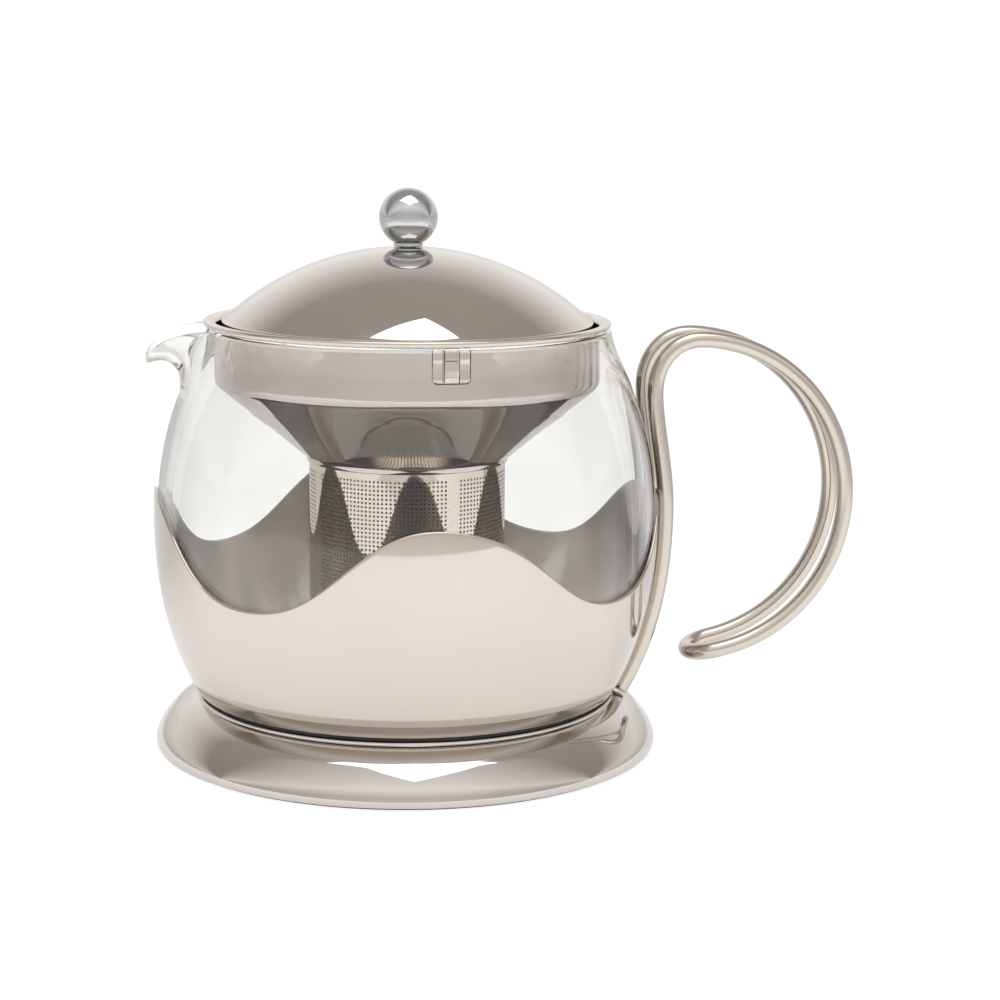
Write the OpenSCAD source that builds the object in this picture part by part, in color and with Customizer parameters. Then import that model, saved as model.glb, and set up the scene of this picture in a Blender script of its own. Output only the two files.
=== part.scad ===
// Glass pot in a wavy-edged steel cradle on a flared base, with a rod handle, a hanging
// infuser and a domed lid. Millimetres. The axis of the pot is z and the base stands on
// z = 0; the pouring lip points to -x and the handle to +x.

/* [Glass] */
// Largest outer radius of the glass
glass_r = 74.25; // [70:0.05:78]
// Height of the widest point of the glass
glass_eq_z = 71; // [68:0.5:74]
// Wall thickness of the glass
glass_t = 2.1; // [1.8:0.1:2.6]
// Radius of the mouth, inside
mouth_r = 58.5; // [58.2:0.1:59]
// Height of the glass rim
rim_z = 126.1; // [125.5:0.1:126.2]
// How far the pouring lip reaches past the rim
lip_reach = 16.6; // [10:0.2:18]
// Half angle taken up by the pouring lip
lip_half = 17; // [12:1:22]

/* [Cradle] */
// Gap between the steel cradle and the glass
cradle_gap = 0.25; // [0.2:0.05:0.4]
// Sheet thickness of the cradle
cradle_t = 0.9; // [0.7:0.1:1.2]
// Middle height of the wavy edge
wave_z = 65.3; // [60:0.1:68]
// Rise and fall of the wavy edge
wave_h = 13.45; // [6:0.05:14]
// Turn of the wavy edge about the axis
wave_turn = 1.6; // [-3:0.1:3]

/* [Handle] */
// Diameter of the handle rod
rod_d = 5; // [4:0.5:6]
// Distance between the centre lines of the two legs
rod_gap = 17; // [14:0.5:22]
// Reach of the loop from the axis of the pot
loop_reach = 133.4; // [120:0.2:140]
// Height of the centre line at the top of the loop
loop_top = 122.5; // [118:0.5:126]
// Height of the centre line at the bottom of the loop
loop_low = 26.3; // [24:0.1:34]

/* [Base] */
// Largest radius of the base
base_r = 75.5; // [70:0.5:80]
// Height of the base top
base_h = 16; // [15.8:0.1:16.1]
// Radius of the circle the studs stand on
stud_circle = 40; // [30:1:46]

/* [Infuser] */
// Outer radius of the collar band
band_r = 57; // [56.5:0.1:57.1]
// Outer radius of the rolled rim
bead_r = 60.25; // [59.5:0.05:61]
// Outer radius of the basket
basket_r = 29.3; // [26:0.1:30]
// Height of the underside of the basket
basket_z = 32; // [28:0.5:50]

/* [Lid] */
// Radius of the dome sphere
dome_r = 79.7; // [78:0.1:80]
// Height of the centre of the dome sphere
dome_z = 69.8; // [69.6:0.1:70.5]
// Radius of the edge of the lid
lid_r = 54.9; // [54:0.1:55.4]
// Diameter of the ball on top
ball_d = 17.3; // [14:0.1:20]

/* [Hidden] */
$fn = 96;

steel = [0.78, 0.76, 0.74];
polished = [0.84, 0.85, 0.87];
warm = [0.80, 0.76, 0.70];
dark = [0.16, 0.15, 0.15];

// ---------------------------------------------------------------- lines and shared shapes
function reversed(line) = [for (i = [len(line) - 1:-1:0]) line[i]];
function unit(v) = v / norm(v);

// Point at share t of the Bezier curve with four control points
function bezier(ctrl, t) =
    ctrl[0] * pow(1 - t, 3) + ctrl[1] * 3 * t * pow(1 - t, 2)
    + ctrl[2] * 3 * t * t * (1 - t) + ctrl[3] * pow(t, 3);
function bezier_line(ctrl, steps, first = 1) = [for (k = [first:steps]) bezier(ctrl, k / steps)];

// Point at share t of the Hermite curve between two points with given end tangents
function hermite(start, start_dir, end, end_dir, t) =
    start * (2 * t * t * t - 3 * t * t + 1) + start_dir * (t * t * t - 2 * t * t + t)
    + end * (-2 * t * t * t + 3 * t * t) + end_dir * (t * t * t - t * t);

// Point of an ellipse with the two given radii
function arc_point(centre, radii, angle) =
    [centre[0] + radii[0] * cos(angle), centre[1] + radii[1] * sin(angle)];

// Direction along an open line of points, at point i
function along(line, i) = unit(line[min(i + 1, len(line) - 1)] - line[max(i - 1, 0)]);
// The same line moved sideways to its right-hand side
function beside(line, dist) =
    [for (i = [0:len(line) - 1]) let (u = along(line, i)) line[i] + dist * [u[1], -u[0]]];
// A closed sheet section, from one side line
function sheet(line, thick) = concat(line, reversed(beside(line, thick)));

// Triangles that join rows of n points each; the first row starts at point number first
function skin_faces(first, rows, n) =
    [for (j = [0:rows - 2]) for (i = [0:n - 1]) for (half = [0, 1])
        let (p = first + j * n + i, q = first + j * n + (i + 1) % n)
        half == 0 ? [p, p + n, q] : [q, p + n, q + n]];

// Ring standing on z = 0; its cutter starts 1 below and is cut_h tall
module ring(outer_r, hole_r, height, cut_h, sides = 96, hole_sides = 96) {
    difference() {
        cylinder(r = outer_r, h = height, $fn = sides);
        translate([0, 0, -1]) cylinder(r = hole_r, h = cut_h, $fn = hole_sides);
    }
}

// Hole through the washers, nuts and knob parts
bolt_hole_d = 4.3;
module fastener_ring(outer_d, height, cut_h, sides) {
    ring(outer_d / 2, bolt_hole_d / 2, height, cut_h, sides, 48);
}

// Outer radius of the cradle at height z: a rounded barrel below the widest point
// and an ellipse above it. The glass lies inside it by the gap and the sheet.
cradle_out = cradle_gap + cradle_t;
barrel_power = 2.25;
barrel_drop = 88;
ellipse_rise = 85;
function cradle_r(z) = z < glass_eq_z
    ? (glass_r + cradle_out)
        * pow(1 - pow((glass_eq_z - z) / barrel_drop, barrel_power), 1 / barrel_power)
    : glass_r * sqrt(1 - pow((z - glass_eq_z) / ellipse_rise, 2)) + cradle_out;
function glass_out(z) = cradle_r(z) - cradle_out;

// ---------------------------------------------------------------- glass
glass_floor = 20;
glass_floor_top = glass_floor + glass_t + 0.6;
outer_corner_r = 8;
inner_corner_r = 6;
// Angle above horizontal of the radius that ends the floor corner
lean = 21;
wall_steps = 9;
// Height where the wall ends and the neck begins
neck_start = 106;
neck_steps = 7;
rim_out = mouth_r + glass_t - 0.2;
lip_x = rim_out + lip_reach;

// Half section of the lower glass as [radius, z]: floor, rounded corner and wall
function low_line(floor_z, corner_r, inset) = let (
        centre_z = floor_z + corner_r,
        wall_z = centre_z - corner_r * sin(lean),
        centre_r = glass_out(wall_z) - inset - corner_r * cos(lean))
    concat(
        [[centre_r * 0.5, floor_z]],
        [for (k = [0:4])
            arc_point([centre_r, centre_z], [corner_r, corner_r], -90 + k * (90 - lean) / 4)],
        [for (k = [1:wall_steps]) let (z = wall_z + (neck_start - wall_z) * k / wall_steps)
            [glass_out(z) - inset, z]]);

wall_end_out = [glass_out(neck_start), neck_start];
wall_end_in = wall_end_out - [glass_t, 0];

// Whole half section: up the outside, over the edge point and down the inside.
// The neck lines run from the wall ends through three more control points each.
function glass_section(neck_out, edge, neck_in) = concat(
    low_line(glass_floor, outer_corner_r, 0),
    bezier_line(concat([wall_end_out], neck_out), neck_steps),
    [edge],
    reversed(bezier_line(concat([wall_end_in], neck_in), neck_steps)),
    reversed(low_line(glass_floor_top, inner_corner_r, glass_t)));

plain_section = glass_section(
    [[65.0, 114.6], [60.6, 120.8], [rim_out, rim_z - 0.9]],
    [(mouth_r + rim_out) / 2, rim_z],
    [[62.8, 114.6], [58.5, 119.6], [mouth_r, rim_z - 0.9]]);
lip_section = glass_section(
    [[65.8, 113.3], [lip_x - 7.2, 118.2], [lip_x - 0.9, 115.4]],
    [lip_x + 0.15, 116.2],
    [[63.6, 114.2], [lip_x - 9.0, 122.2], [lip_x - 0.3, 117.4]]);

// Share of the lip at an angle from its middle
function lip_share(angle) = abs(angle) < lip_half ? pow(cos(90 * angle / lip_half), 2) : 0;
// Blend of two section points; the radius moves first and the height follows
function blend(plain, lip, share) = [
    plain[0] + (lip[0] - plain[0]) * sin(90 * share),
    plain[1] + (lip[1] - plain[1]) * (1 - cos(90 * share))];
// Closely spaced across the lip, wider round the rest
glass_angles = concat(
    [for (k = [0:13]) 180 - lip_half + 2 * lip_half * k / 14],
    [for (k = [0:43]) 180 + lip_half + (360 - 2 * lip_half) * k / 44]);

module glass_bowl() {
    n = len(glass_angles);
    rows = len(plain_section);
    points = concat(
        [[0, 0, glass_floor]],
        [for (j = [0:rows - 1]) for (angle = glass_angles)
            let (p = blend(plain_section[j], lip_section[j], lip_share(angle - 180)))
            [p[0] * cos(angle), p[0] * sin(angle), p[1]]],
        [[0, 0, glass_floor_top]]);
    last = len(points) - 1;
    last_row = 1 + (rows - 1) * n;
    faces = concat(
        [for (i = [0:n - 1]) [0, 1 + i, 1 + (i + 1) % n]],
        skin_faces(1, rows, n),
        [for (i = [0:n - 1]) [last, last_row + (i + 1) % n, last_row + i]]);
    color([0.86, 0.92, 0.93, 0.35]) polyhedron(points = points, faces = faces, convexity = 6);
}

module glass_seat_pad() {
    color([0.90, 0.90, 0.88]) translate([0, 0, 18.05])
        ring(outer_r = 48, hole_r = 22, height = 1.8, cut_h = 4);
}

// ---------------------------------------------------------------- cradle
cradle_low = 17;
// Side of the cradle as [radius, z]
function cradle_side(inset) = [for (z = [19:3:82]) [cradle_r(z) - inset, z]];
cradle_outer = concat(
    [[0, cradle_low], [61.5, cradle_low], [62.4, cradle_low + 0.2], [63.05, cradle_low + 0.75]],
    cradle_side(0));
cradle_inner = concat(
    [[0, cradle_low + cradle_t], [61.2, cradle_low + cradle_t],
     [62.0, cradle_low + cradle_t + 0.45]],
    cradle_side(cradle_t));

// Height of the wavy edge: four waves, broadened at crests and troughs by small harmonics
function wave(angle) = let (b = 4 * (angle - wave_turn))
    wave_z + wave_h * (cos(b)
        + 0.015 * cos(2 * b) - 0.02 * sin(2 * b)
        - 0.047 * cos(3 * b) - 0.015 * sin(3 * b));

module cradle() {
    // Radius at which the wave is projected onto the flat cutters
    wave_r = glass_r + cradle_out - 0.8;
    cutter_x = wave_r * sin(46);
    cutter_top = 95;
    color(steel) difference() {
        rotate_extrude() polygon(concat(cradle_outer, reversed(cradle_inner)));
        // One cutter for each quarter removes everything above the wave
        for (quarter = [0:3]) rotate([0, 0, 90 * quarter]) rotate([90, 0, 90])
            translate([0, 0, 40]) linear_extrude(height = 50) polygon(concat(
                [for (k = [-23:23]) [wave_r * sin(2 * k), wave(2 * k)]],
                [[cutter_x, cutter_top], [-cutter_x, cutter_top]]));
    }
}

// ---------------------------------------------------------------- handle
weld_gap = 0.15;
rod_r = rod_d / 2;
half_gap = rod_gap / 2;
// Height range over which the rod follows the cradle
hug_low = 16.6;
hug_top = 76;
// Quarter-ellipse bend at the top of each leg: centre and leftmost x
bend = [86.5, 107.4];
bend_left = 73.4;
bend_radii = [bend[0] - bend_left, loop_top - bend[1]];
loop_centre = [bend[0], (loop_top + loop_low) / 2];
loop_radii = [loop_reach - bend[0], (loop_top - loop_low) / 2];

// Centre line as [x, z] along the cradle, hugging its outside
function hug(z) = let (
        slope = cradle_r(z + 0.5) - cradle_r(z - 0.5),
        shift = (rod_r + weld_gap) / sqrt(1 + slope * slope),
        r = cradle_r(z) + shift)
    [sqrt(r * r - half_gap * half_gap), z - shift * slope];

// Centre line of one leg as [x, z]: up the cradle, on to the bend, over it and round the loop
leg = concat(
    [for (k = [0:14]) hug(hug_low + (hug_top - hug_low) * k / 14)],
    [for (k = [1:7]) hermite(hug(hug_top), [-2.5, 31], [bend_left, bend[1]], [0, 22], k / 8)],
    [for (k = [0:8]) arc_point(bend, bend_radii, 180 - 90 * k / 8)],
    [for (k = [1:26]) arc_point(loop_centre, loop_radii, 90 - 169 * k / 26)]);
leg_last = len(leg) - 1;
tip = leg[leg_last];
tip_dir = along(leg, leg_last);

// Stations: position, direction and the side vector that lies in the plane of the loop.
// The rod runs down the leg at -y (side -1) and back along the one at +y (side 1).
function leg_station(i, side) = let (u = along(leg, i)) [
    [leg[i][0], side * half_gap, leg[i][1]],
    -side * [u[0], 0, u[1]],
    [-u[1], 0, u[0]]];
// Half circle that joins the two legs at the end of the loop
function turn_station(angle) = let (reach = half_gap * sin(angle)) [
    [tip[0] + tip_dir[0] * reach, -half_gap * cos(angle), tip[1] + tip_dir[1] * reach],
    [tip_dir[0] * cos(angle), sin(angle), tip_dir[1] * cos(angle)],
    [-tip_dir[1], 0, tip_dir[0]]];
rod_stations = concat(
    [for (i = [0:leg_last]) leg_station(i, -1)],
    [for (k = [1:9]) turn_station(18 * k)],
    [for (i = [leg_last:-1:0]) leg_station(i, 1)]);

module handle_rod() {
    sides = 14;
    rows = len(rod_stations);
    points = [for (station = rod_stations)
        let (across = station[2], normal = cross(station[1], station[2]))
        for (k = [0:sides - 1]) let (angle = 360 * k / sides)
            station[0] + rod_r * (cos(angle) * across + sin(angle) * normal)];
    faces = concat(
        [[for (k = [0:sides - 1]) k]],
        skin_faces(0, rows, sides),
        [[for (k = [sides - 1:-1:0]) (rows - 1) * sides + k]]);
    color(warm) polyhedron(points = points, faces = faces, convexity = 8);
}

// ---------------------------------------------------------------- base
base_t = 1;
// Domed flare as [radius, z], from the narrow seat bead down to the hem
base_flare = concat(
    bezier_line([[62.95, base_h - 0.8], [64.8, base_h - 1.3], [68.3, 13.0], [70.2, 11.0]], 6, 0),
    bezier_line([[70.2, 11.0], [72.3, 8.8], [base_r - 0.2, 5.4], [base_r, 2.2]], 7),
    [[base_r - 0.05, 1.3], [base_r - 0.3, 0.7]]);
base_section = concat(
    [[0, base_h], [61.5, base_h], [62.3, base_h - 0.1], [62.75, base_h - 0.35],
     [62.9, base_h - 0.65]],
    sheet(base_flare, base_t),
    [[61.8, base_h - base_t], [0, base_h - base_t]]);

stud_angles = [0, 120, 240];
stud_low = 9.4;

module base_pedestal() {
    color(steel) difference() {
        rotate_extrude() polygon(base_section);
        for (angle = stud_angles) rotate([0, 0, angle]) translate([stud_circle, 0, 10])
            cylinder(d = 4.4, h = 10, $fn = 48);
    }
}

module base_gasket() {
    color(dark) translate([0, 0, base_h + 0.06])
        ring(outer_r = 61.7, hole_r = 52, height = 0.86, cut_h = 3);
}

module foot_pad() {
    color(dark) union() {
        cylinder(r = base_r - 1.6, h = 1.6);
        // Raised edge that locates the pad inside the hem
        translate([0, 0, 1.5])
            ring(outer_r = base_r - 1.8, hole_r = base_r - 5, height = 1.7, cut_h = 4);
    }
}

module around_studs(z) {
    for (angle = stud_angles) rotate([0, 0, angle]) translate([stud_circle, 0, z]) children();
}

module base_studs() {
    color(steel) around_studs(stud_low)
        cylinder(d = 4, h = cradle_low - stud_low - 0.05, $fn = 48);
}

module base_washers() {
    color(steel) around_studs(14) fastener_ring(outer_d = 9, height = 0.8, cut_h = 3, sides = 48);
}

module base_nuts() {
    color(steel) around_studs(10.7)
        fastener_ring(outer_d = 8.08, height = 3.2, cut_h = 6, sides = 6);
}

// ---------------------------------------------------------------- infuser
funnel_t = 0.6;
neck_z = 86;
basket_top = 88.8;
// Angle of the cone below horizontal
cone_slope = 40;
// Rounded corner between the collar band and the cone
corner_r = 4;
corner_z = 111.5;
function funnel_corner(angle) =
    arc_point([band_r - corner_r, corner_z], [corner_r, corner_r], angle);
cone_top = funnel_corner(cone_slope - 90);
cone_low_r = basket_r + 1.6;
// Outer line of the collar and cone as [radius, z], from the rolled rim down to the neck
funnel_line = concat(
    [[band_r, 126.55], [band_r, corner_z]],
    [for (k = [1:6]) funnel_corner(-(90 - cone_slope) * k / 6)],
    [[cone_low_r, cone_top[1] - (cone_top[0] - cone_low_r) * tan(cone_slope)],
     [basket_r + 0.95, 87.6], [basket_r + 0.75, neck_z]]);

// Rolled edge of the rim: radius and centre height
roll_r = 0.8;
roll_z = 127.3;

module infuser_funnel() {
    band_in = band_r - funnel_t;
    roll_x = bead_r - roll_r;
    color(steel) union() {
        rotate_extrude() polygon(sheet(funnel_line, funnel_t));
        // Rolled rim that rests on the glass
        rotate_extrude() polygon(concat(
            [[band_in, roll_z - roll_r], [roll_x, roll_z - roll_r]],
            [for (angle = [-60:30:90]) arc_point([roll_x, roll_z], [roll_r, roll_r], angle)],
            [[band_in + 0.5, roll_z + roll_r], [band_in, 127.7]]));
    }
}

module basket_wall() {
    wall_low = basket_z + 1;
    color(steel) translate([0, 0, wall_low])
        ring(outer_r = basket_r, hole_r = basket_r - 0.5, height = basket_top - wall_low,
             cut_h = 70);
}

module basket_floor() {
    color(steel) translate([0, 0, basket_z]) difference() {
        cylinder(r = basket_r + 0.7, h = 3.2);
        translate([0, 0, 0.6]) cylinder(r = basket_r + 0.2, h = 5);
    }
}

clip_angles = [-84.5, 35.5, 155.5];
// Side view of the leaf as [distance out from the clip's inner face, z]
clip_leaf = [
    [0, 124.2], [0.4, 124.2], [0.4, 123.2], [0.85, 122.6], [0.95, 119.0], [0.75, 116.2],
    [0.35, 116.2], [0.55, 119.0], [0.45, 122.3], [0, 122.9]];

module spring_clips() {
    color(steel) for (angle = clip_angles) rotate([0, 0, angle])
        translate([band_r + 0.15, 0, 0]) {
            // Plate with a slot open at the bottom
            difference() {
                translate([0, -5.5, 115.7]) cube([0.4, 11, 10.6]);
                translate([-1, -2.2, 114]) cube([3, 4.4, 9.6]);
            }
            // Raised leaf, stepped out near its upper end
            rotate([90, 0, 0]) translate([0, 0, -1.85])
                linear_extrude(height = 3.7) polygon(clip_leaf);
        }
}

// ---------------------------------------------------------------- lid
dome_t = 0.8;
dome_in_r = dome_r - dome_t;
apex = dome_z + dome_r;
// Height of a dome sphere of radius sphere_r at distance r from the axis
function dome_height(sphere_r, r) = dome_z + sqrt(sphere_r * sphere_r - r * r);

module lid_dome() {
    color(steel) difference() {
        intersection() {
            translate([0, 0, dome_z]) sphere(r = dome_r, $fn = 128);
            translate([0, 0, dome_height(dome_r, lid_r) - 0.6]) cylinder(r = lid_r, h = 40);
        }
        translate([0, 0, dome_z]) sphere(r = dome_in_r, $fn = 128);
        translate([0, 0, apex - 5]) cylinder(d = bolt_hole_d, h = 10, $fn = 48);
    }
}

module lid_skirt() {
    skirt_r = lid_r - 1.2;
    skirt_low = 108.6;
    skirt_top = dome_height(dome_in_r, skirt_r) - 0.2;
    color(steel) translate([0, 0, skirt_low])
        ring(outer_r = skirt_r, hole_r = skirt_r - 0.6, height = skirt_top - skirt_low,
             cut_h = 40);
}

// Flat underside of the ball: height above the apex and square of its radius
ball_lift = 1.35;
ball_flat_r2 = 22;
ball_z = apex + ball_lift + sqrt(pow(ball_d / 2, 2) - ball_flat_r2);

module knob_ball() {
    color(polished) difference() {
        translate([0, 0, ball_z]) sphere(d = ball_d, $fn = 96);
        translate([0, 0, apex - 10]) cylinder(d = 20, h = 10 + ball_lift);
        translate([0, 0, apex]) cylinder(d = bolt_hole_d, h = 10, $fn = 48);
    }
}

module knob_neck() {
    color(polished) translate([0, 0, apex + 0.1])
        fastener_ring(outer_d = 8.8, height = 1.15, cut_h = 4, sides = 64);
}

module knob_washer() {
    color(steel) translate([0, 0, apex - dome_t - 1.15])
        fastener_ring(outer_d = 10, height = 0.8, cut_h = 3, sides = 64);
}

module knob_screw() {
    head_top = apex - dome_t - 1.25;
    head_h = 2.2;
    color(steel) union() {
        translate([0, 0, head_top]) cylinder(d = 3.9, h = 11, $fn = 48);
        // Slotted head
        difference() {
            translate([0, 0, head_top - head_h]) cylinder(d = 7.5, h = head_h, $fn = 48);
            translate([-3, -0.5, head_top - head_h - 0.1]) cube([6, 1, 1.1]);
        }
    }
}

glass_bowl();
glass_seat_pad();
cradle();
handle_rod();
base_gasket();
base_pedestal();
foot_pad();
base_studs();
base_washers();
base_nuts();
infuser_funnel();
basket_wall();
basket_floor();
spring_clips();
lid_dome();
lid_skirt();
knob_ball();
knob_neck();
knob_washer();
knob_screw();
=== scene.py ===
# A glass teapot bowl in a polished steel cradle, with a hairpin rod handle, a perforated infuser
# basket and a domed lid with a ball knob, standing on a steel pedestal.
# Z is the axis of the pot and Z = 0 the floor. The handle reaches towards +X, the pouring lip
# points to -X, and the camera stands on the -Y side.
# The pieces are drawn in millimetres, the stage in metres.
import math
import bpy
import bmesh
import numpy as np
from mathutils import Vector, Matrix
from mathutils import geometry


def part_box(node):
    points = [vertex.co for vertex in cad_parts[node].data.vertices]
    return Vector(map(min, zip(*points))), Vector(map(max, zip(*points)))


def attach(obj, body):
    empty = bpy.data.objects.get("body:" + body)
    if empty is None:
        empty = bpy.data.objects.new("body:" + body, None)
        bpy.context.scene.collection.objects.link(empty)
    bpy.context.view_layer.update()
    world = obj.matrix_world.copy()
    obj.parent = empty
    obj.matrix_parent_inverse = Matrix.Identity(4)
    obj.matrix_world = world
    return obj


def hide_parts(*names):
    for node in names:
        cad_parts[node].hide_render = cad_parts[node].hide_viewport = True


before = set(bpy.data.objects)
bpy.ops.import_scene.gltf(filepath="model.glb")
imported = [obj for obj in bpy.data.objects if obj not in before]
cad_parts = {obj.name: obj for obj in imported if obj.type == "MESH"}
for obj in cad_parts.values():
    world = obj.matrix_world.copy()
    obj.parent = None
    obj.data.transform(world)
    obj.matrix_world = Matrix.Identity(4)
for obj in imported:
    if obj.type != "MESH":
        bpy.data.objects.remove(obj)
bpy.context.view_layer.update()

scene = bpy.context.scene
MM = 0.001
TAU = 2 * math.pi


def span(node):
    """Lowest and highest corner of a CAD node in millimetres."""
    low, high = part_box(node)
    return np.array(low) * 1000, np.array(high) * 1000


SPANS = {node: span(node) for node in (
    "glass_bowl", "cradle", "base_pedestal", "infuser_funnel", "basket_wall", "basket_floor",
    "lid_dome", "lid_skirt", "knob_ball", "knob_neck", "handle_rod", "foot_pad", "base_gasket")}

# ------------------------------------------------------------------ shared sizes, mm
CRADLE_R = SPANS["cradle"][1][1]
WIDE_Z = 71.0         # height where bowl and cradle are widest
LOWER_DEPTH = 88      # the rounded shape below WIDE_Z would close this far down
LOWER_POWER = 2.25
UPPER_HEIGHT = 85     # the ellipse above WIDE_Z would close this far up
GLASS_INSET = 1.15    # outside of the cradle to outside of the glass
COLLAR_R = 57.0       # upright band of the infuser
BASKET_R = SPANS["basket_wall"][1][0]
SHEET_T = 0.45        # basket wall and floor
BORE_R = 2.15         # screw hole through dome, neck and knob


def cradle_radius(z):
    z = np.asarray(z, float)
    below = np.clip(WIDE_Z - z, 0, None) / LOWER_DEPTH
    above = np.clip(z - WIDE_Z, 0, None) / UPPER_HEIGHT
    low = CRADLE_R * np.power(1 - np.power(below, LOWER_POWER), 1 / LOWER_POWER)
    high = (CRADLE_R - GLASS_INSET) * np.sqrt(1 - np.square(above)) + GLASS_INSET
    return np.where(z < WIDE_Z, low, high)


def glass_radius(z):
    return cradle_radius(z) - GLASS_INSET


# ------------------------------------------------------------------ curves in (radius, z)
def arc(x, z, radius, start, end, steps, radius_z=None):
    turn = np.radians(np.linspace(start, end, steps + 1))
    return np.stack([x + radius * np.cos(turn), z + (radius_z or radius) * np.sin(turn)], 1)


def bezier(start, pull_start, pull_end, end, steps):
    t = np.linspace(0, 1, steps + 1)[:, None]
    a, b, c, d = (np.array(p, float) for p in (start, pull_start, pull_end, end))
    return a * (1 - t) ** 3 + 3 * b * t * (1 - t) ** 2 + 3 * c * t * t * (1 - t) + d * t ** 3


def level(radii, z):
    """Points at one height."""
    return [[radius, z] for radius in radii]


def join(*parts):
    """One line from several, without repeated points."""
    line = []
    for part in parts:
        for point in np.atleast_2d(np.array(part, float)):
            if not line or np.hypot(*(point - line[-1])) > 1e-5:
                line.append(point)
    return np.array(line)


def tangents(line):
    slope = np.gradient(line, axis=0)
    return slope / np.linalg.norm(slope, axis=1)[:, None]


def beside(line, distance):
    """The line moved to its right-hand side."""
    slope = tangents(line)
    return line + distance * np.stack([slope[:, 1], -slope[:, 0]], 1)


def half_round(start, end, bulge):
    """Points between start and end on a half ellipse that reaches out by bulge."""
    turn = np.linspace(0, math.pi, 9)[1:-1, None]
    return (start + end) / 2 + (start - end) / 2 * np.cos(turn) + bulge * np.sin(turn)


def sheet(line, thickness, round_start=False, round_end=True):
    """Closed section of a sheet: the line, its right-hand copy, and rounded ends."""
    other = beside(line, thickness)
    slope = tangents(line)
    parts = [line]
    if round_end:
        parts.append(half_round(line[-1], other[-1], slope[-1] * thickness / 2))
    parts.append(other[::-1])
    if round_start:
        parts.append(half_round(other[0], line[0], -slope[0] * thickness / 2))
    return join(*parts)


# ------------------------------------------------------------------ meshes
def new_object(name, verts, faces, mats, face_mats=None, sharp=38):
    mesh = bpy.data.meshes.new(name)
    mesh.from_pydata([tuple(v) for v in np.asarray(verts, float) * MM], [],
                     [tuple(int(i) for i in face) for face in faces])
    mesh.validate()
    for mat in mats:
        mesh.materials.append(mat)
    if face_mats is not None:
        mesh.polygons.foreach_set("material_index", np.asarray(face_mats, np.int32))
    obj = bpy.data.objects.new(name, mesh)
    scene.collection.objects.link(obj)
    bm = bmesh.new()
    bm.from_mesh(mesh)
    bmesh.ops.recalc_face_normals(bm, faces=bm.faces)
    bm.to_mesh(mesh)
    bm.free()
    mesh.shade_smooth()
    mesh.set_sharp_from_angle(angle=math.radians(sharp))
    return obj


def stand_for(obj, body, node):
    """Puts the object in the place of a CAD node."""
    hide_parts(node)
    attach(obj, body)


def spun(name, loop, mats, steps=192, pick=None, sharp=38, closed=True, angles=None, warp=None):
    """Turns a (radius, z) section about Z. Points on the axis become one vertex.
    warp(radius, z, angles, index) may move a ring; pick(index) gives a material number."""
    loop = np.asarray(loop, float)
    turn = np.linspace(0, TAU, steps, endpoint=False) if angles is None else angles
    count = len(turn)
    verts, rings = [], []
    for j, (radius, z) in enumerate(loop):
        if radius < 1e-6:
            rings.append([len(verts)] * count)
            verts.append((0, 0, z))
            continue
        base = len(verts)
        if warp is None:
            radii, heights = np.full(count, radius), np.full(count, z)
        else:
            radii, heights = warp(radius, z, turn, j)
        verts.extend(zip(radii * np.cos(turn), radii * np.sin(turn), heights))
        rings.append(list(range(base, base + count)))
    faces, face_mats = [], []
    size = len(loop)
    for j in range(size if closed else size - 1):
        ring, after = rings[j], rings[(j + 1) % size]
        if ring[0] == ring[1] and after[0] == after[1]:
            continue
        mat = pick(j) if pick else 0
        for i in range(count):
            k = (i + 1) % count
            face = [ring[i], ring[k], after[k], after[i]]
            faces.append([v for x, v in enumerate(face) if v not in face[:x]])
            face_mats.append(mat)
    return new_object(name, verts, faces, mats, face_mats, sharp)


def flat_triangles(rings, loose, tolerance, is_solid):
    """Points and triangles of a flat plate bounded by closed rings, with loose inner points."""
    points, edges = [], []
    for ring in rings:
        base = len(points)
        points += [Vector(p) for p in ring]
        edges += [(base + i, base + (i + 1) % len(ring)) for i in range(len(ring))]
    points += [Vector(p) for p in loose]
    result = geometry.delaunay_2d_cdt(points, edges, [], 0, tolerance)
    flat = result[0]
    return flat, [tri for tri in result[2]
                  if is_solid(sum((flat[i] for i in tri), Vector((0, 0))) / 3)]


def thick_plate(flat, tris, place, depth0, depth1):
    """Two copies of a flat mesh, closed along every free edge.
    place(x, y, depth) gives a 3D point."""
    n = len(flat)
    verts = [place(p[0], p[1], depth) for depth in (depth0, depth1) for p in flat]
    faces, uses = [], {}
    for tri in tris:
        faces.append(list(tri))
        faces.append([i + n for i in tri[::-1]])
        for a, b in zip(tri, list(tri[1:]) + [tri[0]]):
            key = (min(a, b), max(a, b))
            uses[key] = uses.get(key, 0) + 1
    for (a, b), count in uses.items():
        if count == 1:
            faces.append([a, b, b + n, a + n])
    return verts, faces


# ------------------------------------------------------------------ shader trees
class Nodes:
    """Adds nodes to a shader tree. An input given as a socket is linked, any other is set."""

    def __init__(self, tree):
        self.tree = tree
        tree.nodes.clear()

    def add(self, kind, inputs=None, **attrs):
        node = self.tree.nodes.new(kind)
        for key, value in attrs.items():
            setattr(node, key, value)
        for key, value in (inputs or {}).items():
            self.set(node, key, value)
        return node

    def set(self, node, key, value):
        socket = node.inputs[key]
        if isinstance(value, bpy.types.NodeSocket):
            self.tree.links.new(value, socket)
        else:
            socket.default_value = value

    def math(self, op, a, b=0.0):
        return self.add("ShaderNodeMath", {0: a, 1: b}, operation=op).outputs[0]

    def dot(self, vector, axis):
        node = self.add("ShaderNodeVectorMath", {0: vector, 1: axis}, operation="DOT_PRODUCT")
        return node.outputs["Value"]

    def remap(self, value, source, target=(0, 1)):
        """Carries the range source over to the range target."""
        return self.add("ShaderNodeMapRange", {
            "Value": value, "From Min": source[0], "From Max": source[1],
            "To Min": target[0], "To Max": target[1]}).outputs[0]


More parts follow.
